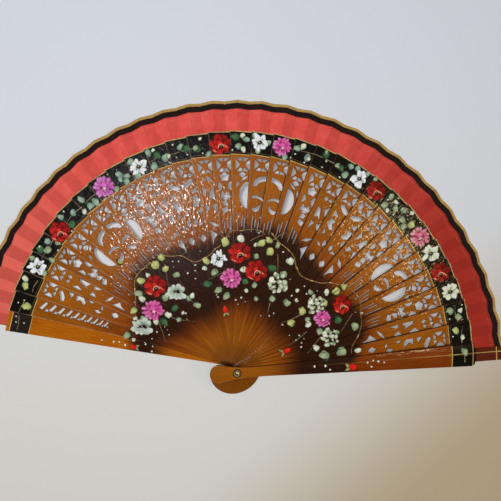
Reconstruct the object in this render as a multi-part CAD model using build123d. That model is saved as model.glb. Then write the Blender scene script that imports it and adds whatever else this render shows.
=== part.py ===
"""A pierced wooden folding fan, lying open with its front up, in millimetres.

Thirty pierced sticks and two plain guards turn on one rivet, which is the Z axis. Each blade has its
own layer, so the blades pass over each other when the fan folds: the rear guard is at the bottom, the
sticks follow in order from left to right, and the front guard is on top. The origin is on the rivet's
axis, in the rear face that the fan lies on, and +Y is the middle of the open fan. A pleated cloth leaf
is glued to the thin ribs that stand out past the shoulders of the sticks.
"""

from build123d import *

import math
import os

# How many blades, and how far apart in angle and in height
STICK_COUNT = 30
PITCH_DEG = 5.32
LAYER_PITCH = 0.80
STICK_THICKNESS = 0.70
LAYER_GAP = LAYER_PITCH - STICK_THICKNESS

# Radii from the rivet's axis
SHOULDER_R = 187.0
RIB_END_R = 207.5
LEAF_INNER_R = 188.0
LEAF_VALLEY_R = 210.2
LEAF_MOUNTAIN_R = 210.6
GUARD_TIP_R = 211.5
RIVET_HOLE_R = 1.55

# The outline of a stick
STICK_HALF_DEG = 3.0
NECK_HALF = 3.9
NECK_END_R = NECK_HALF / math.sin(math.radians(STICK_HALF_DEG))
SHOULDER_SKEW = 0.45
HEAD_R = 6.9
HEAD_CENTRE = 14.0
HEAD_FILLET = 110.0

# The ribs behind the leaf
RIB_WIDTH = 2.4
RIB_THICKNESS = 0.20

# The guards
REAR_THICKNESS = 2.2
FRONT_THICKNESS = 2.4
GUARD_SHOULDER_HALF = 8.9
GUARD_NECK_END_R = 22.0
GUARD_TIP_HALF = 5.3
GUARD_TIP_CORNER = 1.5
REAR_TIP_THICKNESS = 0.7
FRONT_TIP_UNDER = 0.95
FRONT_TIP_THICKNESS = 1.0
GUARD_EDGE = 0.4
GUARD_CROWN = 0.9
GUARD_CORNER = 2.0

# The rivet and its washer
PIN_R = 1.5
REAR_HEAD_R = 2.8
REAR_HEAD_HEIGHT = 0.6
WASHER_R = 3.3
WASHER_THICKNESS = 0.35
WASHER_CHAMFER = 0.12
DOME_R = 2.5
DOME_HEIGHT = 1.3
FIT_GAP = 0.05

# The cloth leaf: one panel is glued to each blade, and one joins it to the next blade
CLOTH_THICKNESS = 0.15
PLEAT_DEPTH = 0.9
CLOTH_LIFT = 0.80
PANEL_HALF_DEG = PITCH_DEG / 4

# The pierced window of a stick, and the medallions that span several sticks
WINDOW_HALF_DEG = 1.95
WINDOW_MIDDLE_DEG = 0.25
STAR_R = 160.9
STAR_HALF_HEIGHT = 5.2
MEDALLION_R = 137.0
MEDALLION_HALF_HEIGHT = 10.2
D_STEPS = 6
SAW_CLEARANCE = 0.32

BLADE_COUNT = STICK_COUNT + 2
SECTION_COUNT = BLADE_COUNT // 2
FIRST_STICK_Z = REAR_THICKNESS + LAYER_GAP
FRONT_GUARD_Z = FIRST_STICK_Z + STICK_COUNT * LAYER_PITCH
REAR_GUARD_DEG = 90 + PITCH_DEG * (BLADE_COUNT - 1) / 2


def polar(radius, right_deg):
    """A point at a radius, right_deg to the right of a blade's own axis, which is +Y."""
    turn = math.radians(right_deg)
    return (radius * math.sin(turn), radius * math.cos(turn))


def blade_z(index):
    """The underside of a blade's layer: 0 is the rear guard, 1 to 30 the sticks, 31 the front guard."""
    return 0.0 if index == 0 else FIRST_STICK_Z + (index - 1) * LAYER_PITCH


def placed(shape, index):
    """A shape made along +Y at height 0, moved to the place of a blade in the open fan."""
    turn = REAR_GUARD_DEG - PITCH_DEG * index - 90
    return Pos(0, 0, blade_z(index)) * Rot(0, 0, turn) * shape


# ---- outlines ----


def headed(blade):
    """A blade's outline with its round head, blended into the neck by two long arcs."""
    outline = blade + Pos(0, -HEAD_CENTRE) * Circle(HEAD_R)
    corners = [v for v in outline.vertices() if -HEAD_CENTRE < v.Y < 0]
    return fillet(corners, HEAD_FILLET)


def stick_outline():
    """The full outline of a stick up to its shoulder, which is cut a little askew."""
    left, right = -STICK_HALF_DEG, STICK_HALF_DEG
    points = [
        (-NECK_HALF, -HEAD_CENTRE),
        (-NECK_HALF, NECK_END_R * math.cos(math.radians(STICK_HALF_DEG))),
        polar(SHOULDER_R + SHOULDER_SKEW, left),
        polar(SHOULDER_R - SHOULDER_SKEW, right),
        (NECK_HALF, NECK_END_R * math.cos(math.radians(STICK_HALF_DEG))),
        (NECK_HALF, -HEAD_CENTRE),
    ]
    return headed(make_face(Polyline(*points, close=True)))


def guard_outline(corner=0.0):
    """The full outline of a guard up to its shoulder, whose right corner may be cut off."""
    points = [
        (-NECK_HALF, -HEAD_CENTRE),
        (-NECK_HALF, GUARD_NECK_END_R),
        (-GUARD_SHOULDER_HALF, SHOULDER_R),
        (GUARD_SHOULDER_HALF - corner, SHOULDER_R),
        (GUARD_SHOULDER_HALF, SHOULDER_R - corner),
        (NECK_HALF, GUARD_NECK_END_R),
        (NECK_HALF, -HEAD_CENTRE),
    ]
    if not corner:
        points.pop(3)
    return headed(make_face(Polyline(*points, close=True)))


# ---- pierced work, each hole an outline of (degrees right of the window's middle, radius) points ----


def mirrored(holes):
    """The same holes, left and right exchanged."""
    return [[(-across, radius) for across, radius in hole] for hole in holes]


def star(half_height=STAR_HALF_HEIGHT, radius=STAR_R):
    """Six holes that leave a small disc held by a cross and two upright spokes."""
    side = [(1.0, 0.74), (0.60, 0.30), (0.48, 0.0), (0.60, -0.30), (1.0, -0.74)]
    corner = [(0.12, 1.0), (0.80, 1.0), (0.36, 0.56), (0.12, 0.64)]
    shapes = [side, corner, [(x, -y) for x, y in corner]]
    shapes += [[(-x, y) for x, y in shape] for shape in shapes]
    return [[(WINDOW_HALF_DEG * x, radius + half_height * y) for x, y in s] for s in shapes]


def side_holes(radius, half_height):
    """The two upright holes of a second, lower star."""
    side = [(1.0, 0.95), (0.66, 0.6), (0.50, 0.0), (0.66, -0.6), (1.0, -0.95)]
    shapes = [side, [(-x, y) for x, y in side]]
    return [[(WINDOW_HALF_DEG * x, radius + half_height * y) for x, y in s] for s in shapes]


def rosette(across, radius, half_width_deg, half_height, lobes=5, waist=0.72):
    """One lobed hole, like a small flower."""
    hole = []
    for i in range(2 * lobes):
        turn = math.pi * i / lobes
        reach = 1.0 if i % 2 == 0 else waist
        x = across + half_width_deg * reach * math.sin(turn)
        hole.append((x, radius + half_height * reach * math.cos(turn)))
    return [hole]


def crown(radius, half_height):
    """A wide hole with a straight foot and two peaks."""
    half = [(0.0, 0.1), (0.18, 0.25), (0.42, 1.0), (0.62, 0.3), (0.80, -1.0)]
    hole = half + [(-x, y) for x, y in reversed(half[1:])]
    return [[(WINDOW_HALF_DEG * x, radius + half_height * y) for x, y in hole]]


def slit(across_a, radius_a, across_b, radius_b, width):
    """A thin straight slit between two points, with pointed ends."""
    middle = ((across_a + across_b) / 2, (radius_a + radius_b) / 2)
    run_x = math.radians(across_b - across_a) * middle[1]
    run_y = radius_b - radius_a
    half = width / 2 / math.hypot(run_x, run_y)
    side_deg = math.degrees(half * run_y / middle[1])
    side_r = half * run_x
    left = (middle[0] - side_deg, middle[1] + side_r)
    right = (middle[0] + side_deg, middle[1] - side_r)
    return [[(across_a, radius_a), left, (across_b, radius_b), right]]


def upright_slits(top, bottom, places=(-1.3, -0.1, 1.1), half_deg=0.16):
    """A row of tall thin tapered slits below the main pattern, with uneven tops and feet."""
    holes = []
    for i, across in enumerate(places):
        foot = bottom + 3.5 * (i % 2)
        head = top - 2.0 * i
        right = [(across + half_deg, head - 1.2), (across + 0.7 * half_deg, foot + 0.8)]
        left = [(across - 0.7 * half_deg, foot), (across - half_deg, head - 1.2)]
        holes.append([(across, head)] + right + left)
    return holes


def bow(across, radius, half_height, width_deg):
    """Two slanted holes, one over the other, like a bow."""
    upper = [(-0.1, 1.0), (0.7, 0.75), (0.45, 0.25), (-0.5, 0.15), (-0.3, 0.55)]
    lower = [(-0.2, -0.05), (0.9, -0.35), (0.75, -0.9), (0.4, -1.0), (-0.5, -0.6)]
    return [[(across + width_deg * x, radius + half_height * y) for x, y in s] for s in (upper, lower)]


def half_medallion(flat_deg, tip_deg):
    """The large D-shaped hole at one side of a medallion: a straight side and half an ellipse."""
    hole = []
    for step in range(2 * D_STEPS + 1):
        turn = math.pi / 2 * (step / D_STEPS - 1)
        across = flat_deg + (tip_deg - flat_deg) * math.cos(turn)
        hole.append((across, MEDALLION_R + MEDALLION_HALF_HEIGHT * math.sin(turn)))
    return [hole]


def medallion_inside():
    """The crescent, brow and curl inside a medallion, for the stick left of its middle."""
    crescent = [(-1.80, 144.6), (-1.72, 147.4), (-1.20, 149.9), (-0.30, 151.6), (1.75, 153.0)]
    crescent += [(1.75, 149.3), (0.45, 148.5), (-0.45, 147.0), (-0.75, 144.9)]
    brow = [(-1.75, 136.9), (-0.3, 137.2), (0.8, 136.4), (1.75, 134.6)]
    brow += [(1.75, 133.4), (0.6, 134.9), (-0.4, 135.3), (-1.75, 134.7)]
    curl = [(-1.60, 127.6), (-0.50, 127.3), (0.35, 128.6), (0.90, 130.6)]
    curl += [(1.10, 128.4), (0.70, 126.1), (-0.30, 124.6), (-1.30, 125.2)]
    return [crescent, brow, curl]


def medallion_side(flat_deg, tip_deg):
    """The side of a medallion, for the stick that holds its left end."""
    return (
        half_medallion(flat_deg, tip_deg)
        + rosette(0.0, 152.9, 0.95, 1.9, lobes=4, waist=0.8)
        + slit(-0.6, 147.6, 1.7, 152.2, 1.2)
        + slit(-1.75, 142.4, -1.25, 148.4, 1.3)
        + upright_slits(123.4, 108.6, (-1.35, 0.35, 1.3))
    )


def near_pattern():
    """The pattern of a stick beside a medallion."""
    return (
        star()
        + rosette(0.0, 151.4, 1.45, 3.5)
        + side_holes(144.2, 3.5)
        + crown(137.8, 2.5)
        + slit(-1.3, 134.0, 1.5, 134.4, 0.7)
        + bow(0.1, 128.2, 4.9, 1.5)
        + upright_slits(120.4, 107.4)
    )


def middle_pattern():
    """The pattern of the second stick after a medallion."""
    fang = [(1.85, 146.2), (1.85, 138.4), (1.35, 139.4), (0.75, 142.8)]
    fork = [(-1.6, 143.4), (-0.7, 142.2), (0.6, 133.2), (-0.45, 136.6), (-1.6, 134.4)]
    left_claw = [(-1.7, 131.2), (-0.6, 129.6), (-1.1, 127.4), (-1.7, 123.6)]
    right_claw = [(0.5, 129.6), (1.85, 131.4), (1.8, 125.4), (1.1, 127.4)]
    wing = [(1.7, 111.4), (-0.6, 106.8), (0.8, 104.2), (1.7, 99.4)]
    return (
        star(4.9)
        + rosette(-0.55, 151.2, 0.6, 1.6, lobes=4)
        + rosette(0.95, 151.2, 0.55, 1.4, lobes=3)
        + [fang, fork, left_claw, right_claw, wing]
        + slit(-1.75, 113.0, 1.85, 118.0, 2.0)
    )


def far_pattern():
    """The pattern of the third stick after a medallion."""
    cloud = [(-1.1, 152.9), (-0.3, 153.8), (1.85, 150.8), (1.85, 148.2), (0.6, 148.5), (-0.7, 150.8)]
    tooth = [(-1.5, 147.0), (0.2, 143.5), (-1.5, 142.8)]
    hook = [(-1.5, 140.0), (0.4, 139.2), (-0.4, 136.4), (0.85, 132.7), (-0.2, 131.7), (-1.5, 134.2)]
    thorn = [(-1.7, 130.6), (-0.8, 128.0), (-1.5, 125.6)]
    return (
        star(4.8)
        + [cloud, tooth, hook, thorn]
        + slit(-1.6, 119.0, 0.5, 116.6, 1.4)
        + rosette(1.2, 120.2, 0.55, 2.9, lobes=4)
        + rosette(0.1, 106.2, 1.1, 2.9, lobes=4, waist=0.8)
    )


def end_pattern():
    """The pattern of the stick beside the rear guard: slanting cuts that get smaller towards the rivet."""
    holes = []
    radius = 162.6
    length = 5.2
    while radius > 108:
        reach = [(-0.9, 0.0), (-0.5, 0.45), (1.5, -0.25), (1.2, -0.6)]
        barb = [(-1.1, -0.4), (-0.2, -0.75), (-1.0, -1.0)]
        holes += [[(across, radius + share * length) for across, share in s] for s in (reach, barb)]
        radius -= 1.45 * length
        length *= 0.93
    return holes


MEDALLION_INSIDE = star(4.6, 161.4) + medallion_inside() + upright_slits(121.4, 108.4, (-1.0, 0.2, 1.4))
MEDALLION_LEFT = star() + medallion_side(1.90, -0.75)
MEDALLION_RIGHT = mirrored(star() + medallion_side(1.75, -1.10))
MEDALLION = [MEDALLION_LEFT, MEDALLION_INSIDE, mirrored(MEDALLION_INSIDE), MEDALLION_RIGHT]
SHORT_MEDALLION = [MEDALLION_LEFT, MEDALLION_INSIDE, MEDALLION_RIGHT]
LEAVING = [near_pattern(), middle_pattern(), far_pattern()]
APPROACH = [mirrored(holes) for holes in reversed(LEAVING)]

# The order of patterns from the rear guard to the front guard. The third medallion is one stick short.
PATTERNS = [end_pattern()] + APPROACH + MEDALLION + LEAVING + APPROACH + MEDALLION + LEAVING
PATTERNS += APPROACH + SHORT_MEDALLION + LEAVING


# ---- solids ----


def hole_wire(hole):
    """The closed outline of one hole in a stick's own plane, cleared by the saw on every side."""
    points = [Vector(*polar(radius, WINDOW_MIDDLE_DEG + across), 0) for across, radius in hole]
    middle = sum(points, Vector()) / len(points)
    cleared = [p + (p - middle).normalized() * SAW_CLEARANCE for p in points]
    return Wire.make_polygon(cleared, close=True)


def rib():
    """The thin rib that stands out past the shoulder, on the back of the leaf."""
    root = SHOULDER_R - 4.0
    length = RIB_END_R - root
    strip = Pos(0, root + length / 2) * Rectangle(RIB_WIDTH, length)
    strip = fillet([v for v in strip.vertices() if v.Y > SHOULDER_R], RIB_WIDTH * 0.3)
    return extrude(strip, RIB_THICKNESS)


def stick(index):
    """One pierced stick with its rivet hole and its rib."""
    outline = stick_outline()
    rivet_hole = Wire.make_circle(RIVET_HOLE_R)
    holes = [hole_wire(hole) for hole in PATTERNS[index - 1]]
    blade = extrude(Face(outline.face().outer_wire(), [rivet_hole] + holes), STICK_THICKNESS)
    return placed(blade + rib(), index)


def guard_tip(under, thickness):
    """The narrow end of a guard, which holds the side of the leaf."""
    root = SHOULDER_R - 4.0
    length = GUARD_TIP_R - root
    tip = Box(2 * GUARD_TIP_HALF, length, thickness)
    tip = fillet([e for e in tip.edges().filter_by(Axis.Z) if e.center().Y > 0], GUARD_TIP_CORNER)
    return Pos(0, root + length / 2, under + thickness / 2) * tip


def rear_guard():
    """The plain guard at the back, with a seat for the rivet's rear head."""
    body = extrude(guard_outline(), REAR_THICKNESS)
    body = chamfer(body.edges().group_by(Axis.Z)[0], 0.3)
    body -= Cylinder(RIVET_HOLE_R, 3 * REAR_THICKNESS)
    seat_depth = REAR_HEAD_HEIGHT + FIT_GAP
    body -= Pos(0, 0, seat_depth / 2) * Cylinder(REAR_HEAD_R + FIT_GAP, seat_depth)
    return placed(body + guard_tip(0.0, REAR_TIP_THICKNESS), 0)


def crowned(body, thickness):
    """The body with its front rounded across: GUARD_CROWN lower at the sides of the shoulder."""
    crown_r = (GUARD_SHOULDER_HALF**2 + GUARD_CROWN**2) / (2 * GUARD_CROWN)
    roller = Rot(90, 0, 0) * Cylinder(crown_r, 3 * SHOULDER_R)
    return body & Pos(0, 0, thickness - crown_r) * roller


def front_guard():
    """The plain guard at the front, rounded across, with its upper edges eased."""
    body = crowned(extrude(guard_outline(GUARD_CORNER), FRONT_THICKNESS), FRONT_THICKNESS)
    front = body.faces().filter_by(GeomType.CYLINDER).sort_by(SortBy.AREA)[-1]
    body = fillet(front.edges(), GUARD_EDGE)
    body += guard_tip(FRONT_TIP_UNDER, FRONT_TIP_THICKNESS)
    below_tip = Pos(0, SHOULDER_R + 20, 0) * Box(60, 40, 2 * FRONT_TIP_UNDER)
    body -= below_tip
    body -= Cylinder(RIVET_HOLE_R, 3 * FRONT_THICKNESS)
    return placed(body, BLADE_COUNT - 1)


def rivet():
    """The rivet: a pin with a flush rear head and a domed front head."""
    washer_top = FRONT_GUARD_Z + FRONT_THICKNESS + FIT_GAP + WASHER_THICKNESS + FIT_GAP
    pin = Pos(0, 0, washer_top / 2) * Cylinder(PIN_R, washer_top)
    rear_head = Pos(0, 0, REAR_HEAD_HEIGHT / 2) * Cylinder(REAR_HEAD_R, REAR_HEAD_HEIGHT)
    sphere_r = (DOME_R**2 + DOME_HEIGHT**2) / (2 * DOME_HEIGHT)
    ball = Pos(0, 0, washer_top + DOME_HEIGHT - sphere_r) * Sphere(sphere_r)
    above = Pos(0, 0, washer_top + DOME_HEIGHT) * Box(20, 20, 2 * DOME_HEIGHT)
    return pin + rear_head + (ball & above)


def washer():
    """The washer between the front guard and the rivet's domed head."""
    under = FRONT_GUARD_Z + FRONT_THICKNESS + FIT_GAP
    ring = Cylinder(WASHER_R, WASHER_THICKNESS) - Cylinder(PIN_R + FIT_GAP, 2 * WASHER_THICKNESS)
    upper_rims = ring.edges().filter_by(GeomType.CIRCLE).group_by(Axis.Z)[-1]
    ring = chamfer(upper_rims.sort_by(SortBy.RADIUS)[-1], WASHER_CHAMFER)
    return Pos(0, 0, under + WASHER_THICKNESS / 2) * ring


def fold_line(index, side):
    """A fold of the leaf: one wire across the cloth, at the left (1) or right (-1) edge of a blade's panel."""
    level = blade_z(index) + CLOTH_LIFT + side * PLEAT_DEPTH
    if index == 0:
        level = REAR_TIP_THICKNESS + CLOTH_THICKNESS
    if index == BLADE_COUNT - 1:
        level = FRONT_GUARD_Z + FRONT_TIP_UNDER - CLOTH_THICKNESS
    turn = math.radians(REAR_GUARD_DEG - PITCH_DEG * index + side * PANEL_HALF_DEG)
    outer = LEAF_MOUNTAIN_R if side > 0 else LEAF_VALLEY_R
    low, high = level - CLOTH_THICKNESS / 2, level + CLOTH_THICKNESS / 2
    corners = [(LEAF_INNER_R, low), (outer, low), (outer, high), (LEAF_INNER_R, high)]
    points = [Vector(r * math.cos(turn), r * math.sin(turn), z) for r, z in corners]
    return Wire.make_polygon(points, close=True)


def leaf_section(number):
    """The cloth from the panel of an even blade to the fold that the next section starts at."""
    first = 2 * (number - 1)
    folds = [fold_line(index, side) for index in (first, first + 1) for side in (1, -1)]
    if number < SECTION_COUNT:
        folds.append(fold_line(first + 2, 1))
    return Solid.make_loft(folds, ruled=True)


def main():
    """Makes every node and writes one STEP file for each."""
    os.makedirs("parts", exist_ok=True)
    nodes = {"rear_guard": rear_guard(), "front_guard": front_guard()}
    nodes["rivet"] = rivet()
    nodes["front_washer"] = washer()
    for number in range(1, SECTION_COUNT + 1):
        nodes[f"leaf_section_{number:02d}"] = leaf_section(number)
    for index in range(1, STICK_COUNT + 1):
        nodes[f"stick_{index:02d}"] = stick(index)
    for name, shape in nodes.items():
        export_step(shape, f"parts/{name}.step")
    print(len(nodes), "nodes written")


main()
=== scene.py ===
"""The looks of a pierced wooden folding fan: lacquered sticks, painted flowers and a pleated cloth leaf."""

import math

import bpy
import numpy as np
from mathutils import Matrix, Vector
from mathutils.bvhtree import BVHTree


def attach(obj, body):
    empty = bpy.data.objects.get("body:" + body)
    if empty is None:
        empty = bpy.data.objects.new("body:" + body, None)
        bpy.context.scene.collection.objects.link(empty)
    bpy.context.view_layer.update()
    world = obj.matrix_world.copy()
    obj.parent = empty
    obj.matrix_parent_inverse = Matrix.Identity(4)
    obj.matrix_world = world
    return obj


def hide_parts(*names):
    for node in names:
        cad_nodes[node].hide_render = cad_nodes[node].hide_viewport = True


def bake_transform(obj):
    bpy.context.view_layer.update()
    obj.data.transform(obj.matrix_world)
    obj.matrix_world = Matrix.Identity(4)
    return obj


# ---- the fan's sizes, in millimetres and degrees, as in the CAD source ----
MM = 0.001
STICK_COUNT = 30
BLADE_COUNT = STICK_COUNT + 2
PITCH_DEG = 5.32
REAR_GUARD_DEG = 172.46
LAYER_PITCH = 0.80
STICK_THICKNESS = 0.70
STICK_HALF_DEG = 3.0
NECK_HALF = 3.9
GUARD_NECK_R = 22.0
GUARD_SHOULDER_HALF = 8.9
FIRST_STICK_Z = 2.3
REAR_THICKNESS = 2.2
REAR_TIP_THICKNESS = 0.7
FRONT_GUARD_Z = FIRST_STICK_Z + STICK_COUNT * LAYER_PITCH
FRONT_THICKNESS = 2.4
FRONT_CROWN = 0.9
FRONT_TIP_UNDER = 0.95
SHOULDER_R = 187.0
SHOULDER_SLOPE = 0.045
BAND_INNER_R = 168.1
LEAF_INNER_R = 186.9
LEAF_MOUNTAIN_R = 210.6
LEAF_VALLEY_R = 210.2
CLOTH_THICKNESS = 0.15
CLOTH_LIFT = 0.80
PLEAT_DEPTH = 0.9
PANEL_HALF_DEG = PITCH_DEG / 4


def srgb(red, green, blue):
    """A colour given as 0-255 screen values, as linear light."""
    values = [v / 255 for v in (red, green, blue)]
    return tuple(v / 12.92 if v <= 0.04045 else ((v + 0.055) / 1.055) ** 2.4 for v in values)


def mixed(first, second, share):
    """A colour between two, this share of the way to the second."""
    return tuple(a + (b - a) * share for a, b in zip(first, second))


# ---- colours ----
GOLD = srgb(186, 146, 78)
BLACK = srgb(7, 7, 4)
CORAL = srgb(222, 86, 78)
LIME = (srgb(196, 202, 132), srgb(98, 110, 46))
SAGE = (srgb(166, 180, 146), srgb(60, 80, 52))
TEAL = (srgb(158, 182, 162), srgb(34, 66, 58))
GREEN = (srgb(72, 112, 70), srgb(12, 44, 30))
CREAM = (srgb(224, 228, 210), srgb(138, 148, 118))
WHITE = (srgb(234, 238, 240), srgb(138, 150, 156))
GREENISH_WHITE = (srgb(212, 222, 208), srgb(112, 128, 116))
ROSE_RED = (srgb(228, 44, 30), srgb(166, 20, 14), srgb(66, 4, 6))
BRICK_RED = (srgb(196, 48, 36), srgb(136, 20, 16), srgb(60, 6, 6))
PINK = (srgb(232, 158, 208), srgb(212, 70, 150), srgb(120, 22, 78))
LILAC = (srgb(222, 166, 222), srgb(196, 90, 176), srgb(112, 32, 92))
DUSTY_PINK = (srgb(232, 196, 188), srgb(206, 92, 132), srgb(116, 40, 56))
VINE_GOLD = srgb(202, 166, 104)
STEM = srgb(172, 158, 128)
HEART = srgb(10, 14, 8)
HOLLOW = srgb(48, 4, 8)
POLLEN = srgb(214, 190, 110)
PETAL_EDGE = srgb(226, 188, 160)
DARK_LEAF = srgb(12, 48, 30)


# ---- places ----
def blade_deg(index):
    """The direction of a blade's middle line: 0 is the rear guard, 31 the front guard."""
    return REAR_GUARD_DEG - PITCH_DEG * index


def blade_z(index):
    """The height of a blade's underside."""
    return 0.0 if index == 0 else FIRST_STICK_Z + LAYER_PITCH * (index - 1)


def blade_body(index):
    """The name of the CAD body of a blade."""
    if index == 0:
        return "rear_guard"
    return "front_guard" if index == BLADE_COUNT - 1 else f"stick_{index:02d}"


def blade_top(index):
    """The height of a blade's front face."""
    if index == 0:
        return REAR_THICKNESS
    return blade_z(index) + (FRONT_THICKNESS if index == BLADE_COUNT - 1 else STICK_THICKNESS)


def spot(degrees, radius):
    """A place on the open fan, in millimetres."""
    turn = math.radians(degrees)
    return np.array([radius * math.cos(turn), radius * math.sin(turn)])


# ---- the painting: colour, cover and thickness of the paint over the open fan, seen from above ----
CANVAS_CELL = 0.2
CANVAS_LOW = np.array([-196.0, -8.0])
CANVAS_SIZE = (392.0, 206.0)
BRUSH_SOFTNESS = 0.28


class Canvas:
    """What is painted, on a fine grid over the open fan."""

    def __init__(self, seed):
        columns, rows = (int(side / CANVAS_CELL) for side in CANVAS_SIZE)
        self.colour = np.zeros((rows, columns, 3))
        self.cover = np.zeros((rows, columns))
        self.relief = np.zeros((rows, columns))
        self.random = np.random.default_rng(seed)

    def about(self, value, share=0.2):
        """A value, up to this share more or less."""
        return value * (1 + share * self.random.uniform(-1, 1))

    def window(self, centre, reach):
        """The cells within reach of a point, and their offsets from it."""
        low = np.maximum(((centre - reach - CANVAS_LOW) / CANVAS_CELL).astype(int), 0)
        high = ((centre + reach - CANVAS_LOW) / CANVAS_CELL).astype(int) + 2
        rows = slice(low[1], min(high[1], self.cover.shape[0]))
        columns = slice(low[0], min(high[0], self.cover.shape[1]))
        y, x = np.mgrid[rows, columns]
        x = x * CANVAS_CELL + CANVAS_LOW[0] - centre[0]
        y = y * CANVAS_CELL + CANVAS_LOW[1] - centre[1]
        return (rows, columns), x, y

    def lay(self, part, cover, colour, body):
        """Lays paint of this colour over the cells, as thick as body says."""
        cover = np.clip(cover, 0, 1)
        hidden = cover[..., None]
        self.colour[part] = self.colour[part] * (1 - hidden) + colour * hidden
        self.cover[part] = np.maximum(self.cover[part], cover)
        self.relief[part] = self.relief[part] * (1 - 0.7 * cover) + body * cover

    def dab(self, centre, length, width, degrees, tip, root, point=0.0, side=0.3, ragged=0.13, body=0.6):
        """One pressed stroke of a loaded brush: from the root colour to the tip colour along it and, by the
        share side, across it, with a ragged outline, bristle marks and a narrower end as point says."""
        part, x, y = self.window(centre, 0.65 * max(length, width) + 0.5)
        turn = math.radians(degrees)
        along = (x * math.cos(turn) + y * math.sin(turn)) / (length / 2)
        across = (y * math.cos(turn) - x * math.sin(turn)) / (width / 2)
        phase = self.random.uniform(0, 2 * math.pi, 5)
        around = np.arctan2(across, along)
        wave = sum(np.sin(k * around + phase[k - 2]) / k for k in (2, 3, 4))
        narrowed = across / (1 - point * np.clip(along, 0, 0.95))
        out = np.sqrt(along**2 + narrowed**2) * (1 + ragged * wave)
        cover = (1 - out) * min(length, width) / 2 / BRUSH_SOFTNESS + 0.5
        hairs = across * width
        bristle = np.sin(hairs * 2.9 + phase[3]) * np.sin(hairs * 1.3 + along * 1.7 + phase[4])
        blend = 0.5 + 0.55 * (1 - side) * along + 0.6 * side * across + 0.28 * bristle - 0.2 * out**3
        blend = np.clip(blend, 0, 1)[..., None]
        colour = np.array(root) * (1 - blend) + np.array(tip) * blend
        self.lay(part, cover, colour, body * (0.7 + 0.3 * bristle))

    def curve(self, points, widths, colour, body=0.35):
        """A smooth thin stroke through the points, whose width goes from the first value to the second."""
        points = np.array(points, float)
        ends = np.vstack([2 * points[0] - points[1], points, 2 * points[-1] - points[-2]])
        steps = []
        for a, b, c, d in zip(ends, ends[1:], ends[2:], ends[3:]):
            count = max(3, int(np.linalg.norm(c - b) / 0.35))
            for t in np.linspace(0, 1, count, endpoint=False):
                bend = (2 * a - 5 * b + 4 * c - d) * t**2 + (3 * b - a - 3 * c + d) * t**3
                steps.append(0.5 * (2 * b + (c - a) * t + bend))
        for k, centre in enumerate(steps):
            share = k / max(1, len(steps) - 1)
            half = self.about((widths[0] + (widths[1] - widths[0]) * share) / 2, 0.25)
            part, x, y = self.window(centre, half + 0.5)
            cover = (half - np.hypot(x, y)) / BRUSH_SOFTNESS + 0.5
            self.lay(part, cover, np.array(colour) * self.about(1.0, 0.15), body)


# ---- flowers, each given by its centre, its radius in millimetres and its colours ----
class Petals:
    """Strokes round one centre, with their places and lengths as shares of the flower's radius."""

    def __init__(self, canvas, centre, size):
        self.canvas = canvas
        self.centre = centre
        self.size = size

    def dab(self, degrees, far, length, width, lean, tip, root, **brush):
        """One dab, this far from the centre in this direction."""
        place = self.centre + spot(degrees, far * self.size)
        self.canvas.dab(place, length * self.size, width * self.size, lean, tip, root, **brush)

    def speck(self, degrees, far, length, width, colour):
        """A dot of thick paint, whose length and width are in millimetres."""
        place = self.centre + spot(degrees, far * self.size)
        self.canvas.dab(place, length, width, 0, colour, colour, body=0.9)

    def ring(self, count, far, length, width, tip, root, turn=0.0, wobble=0.2, ragged=0.13):
        """Petals all round the centre."""
        about = self.canvas.about
        for k in range(count):
            degrees = turn + 360 * (k + self.canvas.random.uniform(-wobble, wobble)) / count
            place = about(far, wobble / 2)
            lean = degrees + self.canvas.random.uniform(-90, 90) * wobble
            sides = about(length, wobble), about(width, wobble)
            self.dab(degrees, place, *sides, lean, tip, root, ragged=ragged)


def paint_rose(canvas, centre, size, colours=ROSE_RED):
    """A full rose: ragged petals, brightest at the lower left, round a small petal and a dark hollow."""
    light, middle, deep = colours
    rose = Petals(canvas, centre, size)
    rose.dab(0, 0, 1.95, 1.85, 30, deep, deep, ragged=0.05)
    for count, distance, length in ((7, 0.62, 0.70), (5, 0.38, 0.52)):
        for k in range(count):
            degrees = 225 + 360 * k / count + canvas.random.uniform(-12, 12)
            glow = 0.5 + 0.5 * math.cos(math.radians(degrees - 225))
            tip = mixed(middle, light, glow * canvas.about(0.9, 0.3))
            far = canvas.about(distance, 0.08)
            rose.dab(degrees, far, length, 1.05 * length, degrees + 20, tip, deep, side=0.4, ragged=0.2)
    rose.dab(105, 0.08, 0.44, 0.40, 120, light, middle)
    hollow = Petals(canvas, centre + spot(-65, 0.30 * size), size)
    hollow.dab(0, 0, 0.46, 0.34, 10, HOLLOW, HOLLOW, body=0.2)
    arch = [hollow.centre + spot(a, 0.27 * size) for a in (205, 160, 110, 60, 10)]
    canvas.curve(arch, (0.35, 0.6), PETAL_EDGE)
    rim = mixed(light, PETAL_EDGE, 0.75)
    hollow.dab(15, 0.42, 0.44, 0.13, -40, rim, light, point=0.6)
    rose.dab(236, 0.84, 0.52, 0.13, -20, rim, light, point=0.4)
    for degrees in (80, 150):
        hollow.speck(degrees, 0.10, 0.5, 0.5, POLLEN)


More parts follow.
